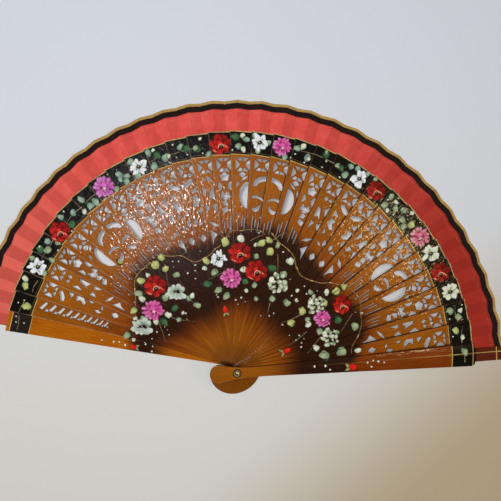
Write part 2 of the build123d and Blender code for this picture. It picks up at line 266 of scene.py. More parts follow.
def paint_mum(canvas, centre, size, colours=PINK):
    """A chrysanthemum: narrow petals in two rings, palest at the upper left, round a cream heart."""
    light, middle, deep = colours
    root = mixed(deep, middle, 0.4)
    mum = Petals(canvas, centre, size)
    mum.dab(0, 0, 1.75, 1.65, 20, deep, deep, ragged=0.08)
    for count, distance, length, width, glow in ((13, 0.68, 0.56, 0.33, 1.0), (9, 0.42, 0.44, 0.27, 0.4)):
        for k in range(count):
            degrees = 360 * (k + canvas.random.uniform(-0.3, 0.3)) / count
            pale = 0.7 + 0.3 * math.cos(math.radians(degrees - 190))
            tip = mixed(middle, light, pale * canvas.about(glow, 0.3))
            far = canvas.about(distance, 0.1)
            lean = degrees + canvas.random.uniform(-25, 25)
            mum.dab(degrees, far, canvas.about(length), width, lean, tip, root, side=0.4, ragged=0.2)
    mum.ring(6, 0.50, 0.34, 0.08, deep, deep, 25, 0.5)
    mum.dab(100, 0.16, 0.54, 0.38, 0, mixed(middle, light, 0.3), middle)
    heart = Petals(canvas, centre + spot(-80, 0.18 * size), size)
    heart.dab(0, 0, 0.50, 0.26, 0, CREAM[0], middle, body=0.8)
    for degrees, far in ((170, 0.16), (-10, 0.22), (-90, 0.16)):
        heart.dab(degrees, far, 0.18, 0.13, 0, deep, HEART)


def paint_daisy(canvas, centre, size, colours=WHITE, count=6):
    """A flower with a few broad uneven petals round a dark heart with a pale dot."""
    light, shade = colours
    turn = canvas.random.uniform(0, 360)
    daisy = Petals(canvas, centre, size)
    daisy.ring(count, 0.56, 0.92, 0.64, light, mixed(light, shade, 0.6), turn, 0.3, 0.28)
    daisy.ring(count - 1, 0.66, 0.56, 0.40, light, mixed(light, shade, 0.3), turn + 20)
    daisy.ring(4, 0.40, 0.46, 0.08, HEART, HEART, turn, 0.4)
    daisy.dab(0, 0, 0.56, 0.46, 20, HEART, HEART, body=0.2)
    daisy.speck(120, 0.04, 1.0, 0.8, POLLEN)


def paint_skirt_flower(canvas, centre, size, colours=GREENISH_WHITE):
    """A half-open flower: petals above a dark heart and a wide skirt of petals below."""
    light, shade = colours
    flower = Petals(canvas, centre, size)
    for degrees, far in ((158, 0.66), (112, 0.52), (66, 0.70), (30, 0.80)):
        flower.dab(degrees, far, 0.80, 0.66, degrees, light, shade, ragged=0.24)
    for degrees, far in ((200, 0.82), (234, 0.58), (274, 0.50), (312, 0.66), (338, 0.92)):
        flower.dab(degrees, far, 0.84, 0.66, degrees, light, mixed(light, shade, 0.7), ragged=0.24)
    flower.dab(90, 0.04, 0.46, 0.28, 0, HEART, HEART)
    flower.speck(70, 0.08, 0.7, 0.5, CREAM[0])


def paint_cluster(canvas, centre, size, colours=CREAM, count=13):
    """A loose cluster of small rounded petals among grey-green leaves."""
    light, shade = colours
    cluster = Petals(canvas, centre, size)
    cluster.ring(5, 0.85, 0.60, 0.46, *SAGE, 20, 0.4)
    for k in range(count):
        turn = 137.5 * k
        width = canvas.random.uniform(0.26, 0.46)
        length = canvas.about(1.35 * width)
        far = math.sqrt((k + 0.3) / count)
        cluster.dab(turn + 40, far, length, width, turn, light, shade, ragged=0.2, body=0.8)
    cluster.dab(160, 0.75, 0.60, 0.50, 100, light, light, body=0.8)
    cluster.dab(200, 0.25, 0.34, 0.20, 30, HEART, HEART)


def paint_bud(canvas, centre, size, colours=LIME, degrees=60.0):
    """A leaf bud: a dark leaf behind, one broad dab, and a lighter one over half of it."""
    light, dark = colours
    bud = Petals(canvas, centre, size)
    lean = degrees + canvas.random.uniform(-30, 30)
    middle = mixed(dark, light, 0.65)
    behind = mixed(DARK_LEAF, BLACK, 0.6)
    bud.dab(lean + 150, 0.7, 2.4, 1.3, lean + 60, DARK_LEAF, behind, point=0.6, body=0.2)
    width = canvas.about(1.85, 0.1)
    bud.dab(0, 0, 2.1, width, lean, middle, mixed(dark, light, 0.4), point=0.25, side=0.5, ragged=0.2)
    lit = {"point": 0.4, "side": 0.5, "ragged": 0.22, "body": 0.8}
    bud.dab(lean + 40, 0.28, canvas.about(1.5), 1.15, lean + 30, light, middle, **lit)


def paint_dot(canvas, centre, size, colours=CREAM):
    """A dot of thick pale paint."""
    length = canvas.about(2.1 * size)
    canvas.dab(centre, length, 1.7 * size, canvas.random.uniform(0, 180), colours[0], colours[0])


# ---- what is painted where: (degrees, radius) on the open fan, then the size ----
BOUQUET_BUDS = [
    (LIME, 128.4, 106.2, 2.9, 80), (LIME, 132.5, 104.2, 3.6, 120), (LIME, 129.9, 96.7, 2.5, 60),
    (SAGE, 127.1, 87.8, 2.6, 30), (LIME, 142.1, 103.1, 2.9, 150), (CREAM, 138.1, 102, 1.9, 110),
    (SAGE, 147.4, 98, 3.2, 140), (CREAM, 148.6, 93.2, 2.6, 150), (SAGE, 139.8, 79.4, 3, 20),
    (LIME, 155.8, 94.3, 2.7, 200), (CREAM, 159.2, 90.4, 1.8, 200), (SAGE, 169, 92.3, 3, 200),
    (CREAM, 155.3, 74.3, 2.4, 100), (GREEN, 153.4, 68.2, 3.2, 330), (CREAM, 147.5, 68.6, 2.6, 30),
    (GREEN, 140.8, 67.9, 2.7, 60), (SAGE, 129, 66.8, 2.3, 20), (CREAM, 126.1, 67.1, 2.2, 60),
    (SAGE, 126.9, 58.3, 2.8, 330), (SAGE, 145.4, 59.8, 2, 200), (CREAM, 139.2, 60.8, 1.4, 60),
    (LIME, 141.4, 125.4, 2.4, 90), (CREAM, 170.4, 86, 1.7, 40), (SAGE, 157.5, 84, 2.6, 10),
    (CREAM, 92.3, 102.8, 3, 90), (LIME, 82.8, 101, 3.2, 60), (LIME, 80, 104.6, 2.6, 100),
    (LIME, 78.2, 96, 3.2, 30), (LIME, 99.3, 100.4, 3.4, 60), (LIME, 110.1, 88.6, 3, 150),
    (CREAM, 112, 83.2, 1.9, 190), (SAGE, 107.3, 78, 2.7, 200), (GREEN, 113.5, 70.6, 3, 220),
    (SAGE, 107.5, 63.5, 2.8, 240), (SAGE, 102.4, 57.6, 2.9, 250), (GREEN, 88.6, 68.8, 2.5, 300),
    (CREAM, 67.7, 94.6, 2.8, 40), (SAGE, 67.8, 83.2, 2.6, 20), (SAGE, 67.5, 61.7, 2.5, 300),
    (SAGE, 57.1, 65.1, 2.8, 330), (SAGE, 84.2, 90, 2.2, 60), (CREAM, 90.4, 78.4, 2.4, 170),
    (CREAM, 85.4, 98.8, 1.6, 60), (SAGE, 75.6, 102.2, 2, 20), (SAGE, 78.8, 57, 1.7, 260),
    (CREAM, 87.2, 61.8, 1.6, 280), (SAGE, 82.2, 67.1, 2.2, 280), (GREEN, 74.6, 84, 3, 10),
    (LIME, 42.3, 99.1, 2.9, 70), (LIME, 41.9, 106, 2.4, 50), (CREAM, 44.9, 92.9, 2.3, 100),
    (LIME, 46, 68.8, 2.9, 120), (LIME, 45.2, 55.9, 2.7, 140), (SAGE, 39.7, 67.8, 2.1, 200),
    (CREAM, 36.8, 65.9, 2.3, 220), (SAGE, 24.4, 98.2, 2.9, 20), (SAGE, 14.4, 82.6, 3.6, 0),
    (SAGE, 14.5, 68.6, 3.5, 180), (CREAM, 13.5, 95.4, 2.4, 0), (CREAM, 20.3, 64, 2.5, 90),
    (LIME, 41.2, 86.5, 2.2, 60), (SAGE, 29.4, 71, 2.6, 200), (SAGE, 50.6, 83.6, 2, 120),
    (GREEN, 30.4, 88, 2.8, 330), (CREAM, 56.6, 78, 1.5, 90), (CREAM, 53.4, 71.6, 1.5, 100),
]
BOUQUETS = [
    (paint_cluster, [(68.6, 75.2, 7.6), (43.6, 80.3, 6.6), (23.8, 77.1, 6.6)]),
    (paint_skirt_flower, [(133.3, 77.1, 6.8), (162.1, 83, 7.4)]),
    (paint_daisy, [(103.6, 87.8, 6.6)]),
    (paint_mum, [(150.3, 80.9, 9), (97.7, 71.2, 8.8), (35, 77.8, 7.1)]),
    (paint_rose, [(139.4, 91.8, 9.2), (92.8, 91.3, 8.9), (82.9, 78.8, 8.9), (35.8, 96.4, 7.4)]),
]
RED_BUDS = [(105.3, 47, 2.8), (26.4, 41.6, 3), (174.3, 85.4, 2.6), (6.2, 89.4, 3.3)]
BOUQUET_DOTS = [
    (125.2, 98.6), (122.8, 96.3), (126.2, 94.4), (117.3, 83.8), (119, 78), (116, 88), (121.5, 84.5),
    (138, 59), (141, 55), (157, 63), (156, 66), (160, 60), (167, 72), (172, 70), (170.5, 77), (152, 97),
    (144.8, 111), (161.5, 70), (150.5, 104), (109, 58), (109.6, 60), (95, 54), (90.5, 56), (93, 50.5),
    (60.8, 52.5), (70, 46), (63, 49), (97.5, 104.5), (84.9, 108.5), (76.2, 104.2), (72.5, 99), (63.5, 82),
    (55, 84), (51.5, 80.5), (57.5, 72), (49, 50), (38, 49), (33.5, 55.5), (29.5, 57.5), (27.5, 54.5),
    (31.5, 51.5), (24.5, 53), (28.5, 107.5), (30, 103), (35, 108), (48.5, 88), (111.5, 97), (100, 108),
    (87, 53),
]
GUARD_DOTS = [
    (173.4, 101.5, 0.9), (173, 97, 0.8), (174, 92, 0.9), (171.5, 76, 0.9), (175.5, 70, 0.8),
    (173.5, 111, 0.7), (8.3, 59.5, 0.9), (8, 68, 1), (5.4, 71.5, 0.9), (7.9, 101, 0.8), (8.6, 105.5, 0.8),
    (8, 109.5, 0.9), (6, 104, 0.8), (7.5, 114, 0.7),
]
VINES = [
    [(133.6, 108), (137.6, 108.2), (141.3, 108.2), (144.2, 106.5), (146.8, 102.6), (150.7, 97.2),
     (154, 94), (159.3, 90.2)],
    [(127.3, 106.3), (124.3, 102.5), (121, 99.9), (119.1, 96.6), (117.1, 92), (114.7, 90), (111.7, 90.3),
     (107.7, 92), (104.4, 95.9), (101.7, 98), (99, 103.1), (96.4, 108.6), (92.3, 108.9), (88, 110.4),
     (84.3, 110), (82.1, 108.4)],
    [(79.7, 110.2), (75.6, 105.1), (71.1, 102.4), (67.1, 98.8), (63.7, 92.6), (59.7, 89.2), (54.1, 90.8),
     (49.3, 95.3), (47.2, 99.7), (43.7, 104.3), (41.9, 108.2), (38.8, 109.2), (36, 110.6), (32.1, 109.6),
     (29, 106.6), (24.4, 103.5), (20.2, 98.4), (15.9, 91.4), (12.5, 89.6)],
]
STEMS = [
    [(129, 100), (131.5, 92), (134.5, 84)], [(147.5, 72), (146.5, 62), (140, 52), (137, 48.5)],
    [(155, 72), (161, 65), (167, 60.5)], [(131, 70), (128, 62), (127, 56)],
    [(141, 113), (138.5, 109.5), (135, 105.5)], [(127.3, 106.3), (130.5, 110.5), (134, 112)],
    [(88, 101.5), (84.5, 106), (82.1, 108.2)], [(79, 104), (76, 111), (72.5, 117)],
    [(101, 77), (106, 75), (112, 73.5)], [(74.5, 96), (72, 86), (70, 78)],
    [(67.5, 58), (66, 52), (65, 47.5)], [(99.5, 104), (103, 108.5), (107, 109)],
    [(45, 66), (47, 58), (51, 50)], [(33, 62), (31.5, 52), (30, 43)], [(26, 70), (22, 62), (18, 56)],
    [(30, 100), (27, 92), (24.5, 86)], [(116, 104), (118.5, 100), (121, 99.5)],
    [(150, 104), (148, 98), (145, 93)],
]
BAND_FLOWERS = [
    (paint_daisy, WHITE, 157.2, 176.8, 7), (paint_rose, ROSE_RED, 146.4, 176.8, 8.6),
    (paint_mum, LILAC, 130.2, 177.2, 8.8), (paint_daisy, WHITE, 119.9, 176.4, 6.8),
    (paint_rose, ROSE_RED, 98.3, 177.2, 8.4), (paint_daisy, WHITE, 88.3, 178.6, 6.6),
    (paint_mum, PINK, 82.6, 178.2, 7.8), (paint_daisy, WHITE, 61.3, 177.8, 6.6),
    (paint_rose, BRICK_RED, 56.2, 177.6, 8), (paint_mum, DUSTY_PINK, 40, 177.4, 8.4),
    (paint_daisy, CREAM, 34.8, 177.4, 7.2), (paint_rose, BRICK_RED, 29.5, 177.2, 8),
    (paint_daisy, CREAM, 23.9, 178.4, 7.2),
]
BAND_BUDS = [
    (LIME, 167.9, 174.6, 3.1, 120), (LIME, 162.9, 180.3, 2.8, 200), (CREAM, 161.2, 182.4, 2.4, 60),
    (SAGE, 155.8, 183.8, 2.2, 30), (SAGE, 157.9, 170.6, 2.4, 180), (SAGE, 153.9, 169.4, 2.4, 250),
    (GREEN, 152.8, 181.4, 3, 60), (SAGE, 152.1, 176.4, 2.8, 200), (TEAL, 150.2, 180, 2.4, 30),
    (SAGE, 149.1, 172.8, 2.2, 240), (TEAL, 143.3, 183, 2.5, 100), (TEAL, 140.4, 178.2, 2.5, 30),
    (GREEN, 143, 172.8, 2.9, 220), (TEAL, 136.6, 180.8, 2.8, 90), (CREAM, 138.2, 172.4, 2.1, 200),
    (TEAL, 136, 172.6, 2.7, 160), (TEAL, 134.3, 172, 3, 250), (TEAL, 125.2, 178.8, 2.8, 90),
    (TEAL, 125.4, 174.8, 2.6, 200), (TEAL, 123.8, 174.2, 2.4, 340), (TEAL, 124.5, 171, 2.5, 270),
    (TEAL, 121, 182.2, 3, 100), (TEAL, 121.1, 171.4, 2.9, 250), (SAGE, 127.8, 170.2, 2.4, 200),
    (TEAL, 116.3, 183.4, 2.6, 120), (CREAM, 114.9, 183.4, 1.7, 60), (TEAL, 116.2, 172, 2.8, 200),
    (GREEN, 114.6, 179.2, 2.8, 300), (TEAL, 112.6, 175.2, 3.1, 10), (CREAM, 111.7, 175.4, 1.5, 10),
    (TEAL, 108.2, 179.6, 2.6, 60), (GREEN, 106.9, 177.4, 2.8, 330), (GREEN, 104.4, 175.8, 3, 180),
    (SAGE, 104.6, 176.4, 1.9, 120), (CREAM, 103.1, 183, 1.3, 0), (TEAL, 101.5, 170.6, 2.2, 200),
    (GREEN, 94.4, 182.4, 3, 120), (CREAM, 92.6, 183.4, 2.1, 60), (TEAL, 91.6, 180.4, 2.4, 340),
    (TEAL, 93.7, 175.2, 2.4, 180), (CREAM, 92.4, 172.6, 2.2, 300), (TEAL, 89.6, 184.2, 2.4, 120),
    (SAGE, 88.6, 172.4, 2.5, 250), (TEAL, 86, 179.6, 2, 0), (TEAL, 81.4, 170.8, 2.4, 240),
    (TEAL, 78.7, 180, 2.7, 150), (CREAM, 77.4, 182.6, 2.3, 60), (TEAL, 75.6, 175, 2.8, 300),
    (CREAM, 75.2, 174.6, 1.5, 300), (GREEN, 71.4, 182.6, 2.8, 90), (SAGE, 71.6, 184.4, 1.6, 90),
    (SAGE, 67.6, 178.6, 2.4, 170), (GREEN, 66.6, 177.8, 2.2, 300), (TEAL, 64.6, 182.8, 2.3, 30),
    (TEAL, 65, 174.6, 2.8, 280), (TEAL, 62.9, 184, 2.4, 120), (TEAL, 60.2, 184.4, 2.2, 60),
    (SAGE, 57.9, 184.6, 2, 130), (SAGE, 52.2, 182, 2.6, 130), (CREAM, 50.4, 181.4, 1.8, 30),
    (SAGE, 49.4, 177.4, 2.6, 330), (SAGE, 52.1, 173.6, 2.6, 220), (CREAM, 50.6, 171.8, 1.7, 300),
    (SAGE, 47.6, 181.4, 2.5, 150), (CREAM, 45.7, 184.4, 1.7, 60), (LIME, 43.6, 178.2, 2.8, 20),
    (SAGE, 46.2, 175.2, 2.6, 200), (SAGE, 44.6, 172.4, 2.4, 280), (CREAM, 18.7, 181.6, 2.1, 90),
    (SAGE, 17.3, 178.8, 2.6, 340), (SAGE, 19.4, 173.8, 2.7, 210), (CREAM, 12, 179.2, 1.9, 20),
    (LIME, 14.1, 174.6, 2.8, 200), (SAGE, 8.5, 178.6, 2.8, 40),
]
BAND_DOTS = [
    (172.6, 180.1), (171.2, 180.9), (172.5, 173.9), (167.6, 181.6), (166.6, 177.6), (152.4, 183.2),
    (150.7, 169.6), (144.3, 169.6), (107, 172.8), (103, 171.6), (78.9, 175), (79.8, 171.4), (70.8, 177.8),
    (71.2, 172.2), (52.4, 178.2), (48.7, 173), (17.3, 171.8), (12.6, 171.6), (127.6, 183.4), (141.8, 184),
    (110, 183), (76, 170.8), (65.9, 171), (95.2, 172), (20, 184),
]
BAND_STEMS = [
    [(170.6, 179.9), (168.6, 178.6), (166.9, 177.4)], [(155, 177.4), (151, 176.6), (149, 177.4)],
    [(143.6, 176.6), (140.5, 177.6), (137.6, 176.2)], [(136.6, 176.4), (134.6, 177.2), (133, 176.8)],
    [(117.2, 176), (113.5, 177.4), (110.4, 176), (106.8, 176.6), (103, 175.4)],
    [(80.6, 177.8), (77.5, 178.6), (74.6, 179.4), (71.4, 179.2), (68.6, 178.8)],
    [(52.4, 176), (50.4, 178.6), (48.6, 180.2)], [(20.4, 178.6), (18.4, 177.2), (16, 178)],
    [(14.8, 180.6), (12.6, 178.4), (10.6, 178.2)], [(9.8, 176.6), (8, 178), (5.8, 178.6)],
    [(174.6, 178.4), (172.8, 178), (170.8, 178.8)], [(163.8, 173.2), (162.4, 173.8), (160.4, 172.6)],
]


def paint_everything():
    """Paints the three bouquets and the band, from the back to the front."""
    canvas = Canvas(seed=11)
    for stem in STEMS:
        canvas.curve([spot(*p) for p in stem], (0.5, 0.3), STEM)
    for vine in VINES:
        canvas.curve([spot(*p) for p in vine], (0.55, 0.4), VINE_GOLD)
        for (a, r), (b, s) in zip(vine[::2], vine[1::2]):
            canvas.curve([spot(a, r), spot((2 * a + b) / 3, (2 * r + s) / 3)], (1.0, 0.4), VINE_GOLD)
    for colours, degrees, radius, size, lean in BOUQUET_BUDS:
        paint_bud(canvas, spot(degrees, radius), size, colours, lean)
    for paint, places in BOUQUETS:
        for degrees, radius, size in places:
            paint(canvas, spot(degrees, radius), size)
    for degrees, radius, size in RED_BUDS:
        for lean in (140, 215):
            sepal = spot(degrees, radius - 0.7 * size) + spot(degrees + lean, 0.6 * size)
            canvas.dab(sepal, 1.7 * size, 0.7 * size, degrees + lean, LIME[0], GREEN[1], 0.5)
        canvas.dab(spot(degrees, radius), 2 * size, 1.6 * size, degrees, ROSE_RED[0], ROSE_RED[1], 0.4)
    for degrees, radius in BOUQUET_DOTS:
        paint_dot(canvas, spot(degrees, radius), canvas.random.uniform(0.4, 0.8))
    for degrees, radius, size in GUARD_DOTS:
        paint_dot(canvas, spot(degrees, radius), size)
    for stem in BAND_STEMS:
        canvas.curve([spot(*p) for p in stem], (0.35, 0.6), STEM)
    for colours, degrees, radius, size, lean in BAND_BUDS:
        paint_bud(canvas, spot(degrees, radius), size, colours, degrees - 90 + lean)
    for paint, colours, degrees, radius, size in BAND_FLOWERS:
        paint(canvas, spot(degrees, radius), size, colours)
    for degrees, radius in BAND_DOTS:
        paint_dot(canvas, spot(degrees, radius), 0.7)
    return canvas


# ---- material nodes ----
class Value:
    """A number or colour that a material's nodes work out, used in sums like a plain number."""

    def __init__(self, nodes, socket):
        self.nodes = nodes
        self.socket = socket

    def __add__(self, other):
        return self.nodes.math("ADD", self, other)

    def __sub__(self, other):
        return self.nodes.math("SUBTRACT", self, other)

    def __rsub__(self, other):
        return self.nodes.math("SUBTRACT", other, self)

    def __mul__(self, other):
        return self.nodes.math("MULTIPLY", self, other)

    def __truediv__(self, other):
        return self.nodes.math("DIVIDE", self, other)


class Nodes:
    """A new material's nodes, with short calls to add them."""

    def __init__(self, name):
        self.material = bpy.data.materials.new(name)
        self.material.use_nodes = True
        self.tree = self.material.node_tree
        self.tree.nodes.clear()

    def add(self, kind, inputs=None, **settings):
        """A node with these settings; inputs gives values by name or number."""
        node = self.tree.nodes.new(f"ShaderNode{kind}")
        for key, value in settings.items():
            setattr(node, key, value)
        for key, value in (inputs or {}).items():
            self.feed(node.inputs[key], value)
        return node

    def out(self, kind, inputs=None, output=0, **settings):
        """One output of a new node."""
        return Value(self, self.add(kind, inputs, **settings).outputs[output])

    def feed(self, socket, value):
        """Links a node's value, or sets a plain one."""
        if isinstance(value, Value):
            self.tree.links.new(value.socket, socket)
        elif isinstance(value, tuple) and socket.type == "RGBA" and len(value) == 3:
            socket.default_value = (*value, 1.0)
        else:
            socket.default_value = value

    def math(self, operation, first, second=0.0, clamp=False):
        """One arithmetic step."""
        return self.out("Math", {0: first, 1: second}, operation=operation, use_clamp=clamp)

    def most(self, first, second):
        """The larger of two values."""
        return self.math("MAXIMUM", first, second)

    def step(self, value, low, high):
        """0 below low, 1 above high, smooth between."""
        inputs = {"Value": value, "From Min": low, "From Max": high}
        return self.out("MapRange", inputs, interpolation_type="SMOOTHSTEP")

    def between(self, value, low, high, soft):
        """1 from low to high and 0 outside, with soft edges."""
        return self.step(value, low - soft, low + soft) * self.step(value, high + soft, high - soft)

    def mix(self, share, first, second, blend="MIX"):
        """A mix of two colours."""
        return self.out("Mix", {0: share, 6: first, 7: second}, 2, data_type="RGBA", blend_type=blend)

    def ramp(self, share, *stops):
        """A colour ramp through (place, colour) stops in rising order."""
        node = self.add("ValToRGB", {0: share})
        elements = node.color_ramp.elements
        elements[0].position, elements[1].position = stops[0][0], stops[-1][0]
        for place, _ in stops[1:-1]:
            elements.new(place)
        for element, (_, colour) in zip(elements, stops):
            element.color = (*colour, 1.0)
        return Value(self, node.outputs[0])

    def profile(self, value, points, low, high, tallest):
        """A smooth curve through (value, height) points, from low to high and up to the tallest height."""
        share = self.out("MapRange", {"Value": value, "From Min": low, "From Max": high})
        node = self.add("FloatCurve", {"Value": share})
        curve = node.mapping.curves[0]
        first, *middle, last = [((v - low) / (high - low), height / tallest) for v, height in points]
        curve.points[0].location = first
        curve.points[-1].location = last
        for place in middle:
            curve.points.new(*place)
        node.mapping.update()
        return Value(self, node.outputs[0]) * tallest

    def noise(self, vector, scale, detail=2.0, roughness=0.5):
        """Plain noise from 0 to 1."""
        inputs = {"Vector": vector, "Scale": scale, "Detail": detail, "Roughness": roughness}
        return self.out("TexNoise", inputs)

    def vector(self, x, y, z=0.0):
        """A vector of three parts."""
        return self.out("CombineXYZ", {0: x, 1: y, 2: z})

    def split(self, vector):
        """The three parts of a vector."""
        return [Value(self, part) for part in self.add("SeparateXYZ", {0: vector}).outputs]

    def bump(self, height, distance, strength=1.0, **normal):
        """A surface normal that follows a height; Normal may give the normal under it."""
        return self.out("Bump", {"Height": height, "Distance": distance, "Strength": strength, **normal})

    def finish(self, **inputs):
        """The surface shader, with its inputs by name and spaces written as underscores."""
        shader = self.out("BsdfPrincipled", {key.replace("_", " "): value for key, value in inputs.items()})
        self.add("OutputMaterial", {"Surface": shader}).is_active_output = True
        return self.material


# ---- wood ----
DARK_OUTER = [
    (0, 86), (10, 92), (26, 108), (42, 99), (58, 105), (74, 114), (90, 112), (106, 103), (122, 106),
    (138, 112), (154, 94), (168, 88), (180, 86),
]
DARK_INNER = [
    (0, 40), (10, 40), (26, 44), (42, 41), (58, 42), (74, 46), (90, 49), (106, 47), (122, 42), (138, 46),
    (154, 50), (170, 62), (180, 62),
]
CURVE_SPAN = 200.0
STICK_TONES = (srgb(98, 42, 4), srgb(120, 54, 6), srgb(134, 66, 9), srgb(156, 84, 16))
REAR_TONES = (srgb(138, 70, 3), srgb(158, 84, 4), srgb(172, 98, 8), srgb(190, 116, 22))
FRONT_TONES = (srgb(92, 36, 4), srgb(110, 48, 5), srgb(122, 56, 7), srgb(140, 72, 12))
SUNNED_WOOD = srgb(96, 64, 6)
# dark brown of cut wood and pores, also used for the painted shade at the rims of holes
CUT_WOOD_AND_RIM_SHADE = srgb(52, 24, 8)
# painted shade for the corners beside the next blade, also the darker heads, which are partly wear
PAINTED_SHADE_AND_WEAR = srgb(26, 13, 8)
SMOKE = srgb(40, 19, 9)
SMOKE_EDGE = srgb(72, 26, 8)
# pale left edges: partly a painted highlight, partly lacquer rubbed thin
EDGE_HIGHLIGHT_AND_WEAR = srgb(222, 186, 156)
TIP_RED = srgb(76, 24, 12)
TIP_GRAIN = srgb(96, 40, 20)
REAR_BLACK = srgb(34, 26, 24)
BLACK_GRAIN = srgb(44, 36, 28)
PALE_GOLD = srgb(214, 186, 120)
LINE_WIDTH = 0.7
LINE_SOFT = 0.12
REAR_END_WIDTH = 2.6
FRONT_END_WIDTH = 1.2
RIDGE_ACROSS = 1.5
RIM_REACH = 0.55
GRAIN_SHIFT = 17.3
EDGE_WANDER = 26.0
INNER_FADE = (-17.0, 11.0)
OUTER_FADE = (-8.0, 5.0)
PIERCED_FROM = (92.0, 112.0)
RIGHT_STICKS = (13.0, 21.0)
HEAD_EDGE = (23.0, 17.0)
TIP_LINE_R = 204.0


class Wood(Nodes):
    """Lacquered wood with grain along the blade, the dark airbrushed zone and the black band.

    Guard is a guard's index, or None for the sticks, which all share one material."""

    def __init__(self, name, tones, guard=None):
        super().__init__(name)
        self.tones = tones
        self.guard = guard
        self.stick = guard is None
        x, y, z = (part / MM for part in self.split(self.out("TexCoord", output="Object")))
        self.radius = self.math("SQRT", x * x + y * y)
        self.degrees = self.math("DEGREES", self.math("ARCTAN2", y, x))
        if self.stick:
            self.index = self.math("FLOOR", (z + (0.02 - FIRST_STICK_Z)) / LAYER_PITCH) + 1.0
            middle = self.index * -PITCH_DEG + REAR_GUARD_DEG
        else:
            self.index = float(guard)
            middle = blade_deg(guard)
        turn = self.math("RADIANS", self.degrees - middle)
        self.along = self.radius * self.math("COSINE", turn)
        self.across = self.radius * self.math("SINE", turn)

        # grain: long streaks, fine pores and slow cloudiness, different on each blade
        self.shift = self.index * GRAIN_SHIFT
        self.streaks = self.noise(self.stretched(1.0, 0.035), 1.6, 4.0, 0.6)
        self.pores = self.noise(self.stretched(5.0, 0.22), 1.0, 2.0)
        self.clouds = self.noise(self.stretched(1.0, 1.0), 0.05, 2.0)

    def stretched(self, across, along):
        """The place on the blade, with each direction multiplied, for a noise of its own on each blade."""
        return self.vector(self.across * across, self.along * along, self.shift)

    def caramel(self):
        """The bare wood under clear lacquer, paler near the rivet and, on the sticks, at the wide end."""
        own = self.out("TexWhiteNoise", {"W": self.index}, "Value", noise_dimensions="1D")
        grain = self.streaks * 0.75 + self.clouds * 0.25 + (own - 0.5) * 0.14
        colour = self.ramp(grain, *zip((0.30, 0.45, 0.58, 0.74), self.tones))
        if self.stick:
            colour = self.mix(self.step(self.radius, 90.0, 140.0) * 0.75, colour, SUNNED_WOOD, "SCREEN")
        if self.guard != 0:
            near_rivet = self.step(self.radius, 60.0, 15.0) * (0.7 if self.stick else 0.9)
            colour = self.mix(near_rivet, colour, SUNNED_WOOD, "SCREEN")
        return self.mix(self.step(self.pores, 0.60, 0.74) * 0.4, colour, CUT_WOOD_AND_RIM_SHADE)

    def airbrush(self, caramel):
        """The dark zone behind the bouquets, with streaky edges; sets dark, its share."""
        edge_noise = self.noise(self.vector(self.degrees * 1.3, self.radius * 0.05), 1.0, 4.0, 0.7)
        wander = (edge_noise - 0.5) * EDGE_WANDER
        outer = self.profile(self.degrees, DARK_OUTER, 0.0, 180.0, CURVE_SPAN) + wander
        inner = self.profile(self.degrees, DARK_INNER, 0.0, 180.0, CURVE_SPAN) + wander * 0.5
        self.dark = self.step(self.radius - inner, *INNER_FADE) * self.step(outer - self.radius, *OUTER_FADE)
        thin = self.step(self.streaks, 0.50, 0.74) * 0.10
        smoke = self.mix(self.dark * (1.0 - thin), SMOKE_EDGE, SMOKE)
        return self.mix(self.dark * (1.0 - thin * 0.7), caramel, smoke)

    def band(self, wood, caramel):
        """The black band between its gold lines, with a guard's own end; sets in_band, its share."""
        skew = self.across * -SHOULDER_SLOPE + self.along
        self.in_band = self.step(skew, BAND_INNER_R - 0.15, BAND_INNER_R + 0.15)
        band_black = self.mix(self.streaks * 0.3, REAR_BLACK if self.guard == 0 else BLACK, BLACK_GRAIN)
        front = self.mix(self.in_band, wood, band_black)
        line_end = SHOULDER_R * math.cos(math.radians(STICK_HALF_DEG))
        if self.guard == 0:
            line_end -= REAR_END_WIDTH
            front = self.mix(self.step(skew, line_end - 0.1, line_end + 0.1), front, caramel)
        if self.guard:
            line_end -= FRONT_END_WIDTH
            tip = self.mix(self.streaks, TIP_RED, TIP_GRAIN)
            tip = self.mix(self.step(self.along, TIP_LINE_R + 3.6, TIP_LINE_R + 4.2), tip, BLACK)
            front = self.mix(self.step(self.along, SHOULDER_R + 0.6, SHOULDER_R + 1.2), front, tip)
        lines = self.between(skew, BAND_INNER_R, BAND_INNER_R + LINE_WIDTH, LINE_SOFT)
        lines = self.most(lines, self.between(skew, line_end - LINE_WIDTH, line_end, LINE_SOFT))
        if self.stick:
            fine = self.between(skew, BAND_INNER_R + 1.9, BAND_INNER_R + 2.1, 0.1) * self.pores
            lines = self.most(lines, fine * 0.7)
        if self.guard:
            tip_line = self.between(self.along, TIP_LINE_R, TIP_LINE_R + LINE_WIDTH, LINE_SOFT)
            # the guard's ridge line is a painted highlight, drawn in the gold of the lines
            lines = self.most(self.most(lines, tip_line), self.ridge())
        patchy = self.step(self.clouds, 0.35, 0.6) * 0.25 + 0.65
        return self.mix(lines * patchy, front, self.mix(self.streaks, GOLD, PALE_GOLD))

    def ridge(self):
        """A painted highlight: the pale broken line along the front guard's low ridge."""
        line = self.between(self.across, RIDGE_ACROSS - 0.35, RIDGE_ACROSS + 0.35, 0.25)
        highlight_breakup = self.step(self.pores, 0.40, 0.62) * 0.35 + self.clouds * 0.5
        stronger = self.step(self.along, 120.0, 190.0) * 1.3 + 0.3
        return line * self.step(self.along, 40.0, 90.0) * (highlight_breakup * stronger)

    def shade_and_wear(self, front):
        """Painted shade in the corners beside the next blade and at the rims of holes, darker heads that are
        partly painted shade and partly streaky wear, and a pale left edge that is partly a painted highlight
        and partly lacquer rubbed thin.
        """
        turn = math.radians(PITCH_DEG)
        spread = math.tan(math.radians(STICK_HALF_DEG))
        next_along = self.along * math.cos(turn) - self.across * math.sin(turn)
        next_across = self.along * math.sin(turn) + self.across * math.cos(turn)
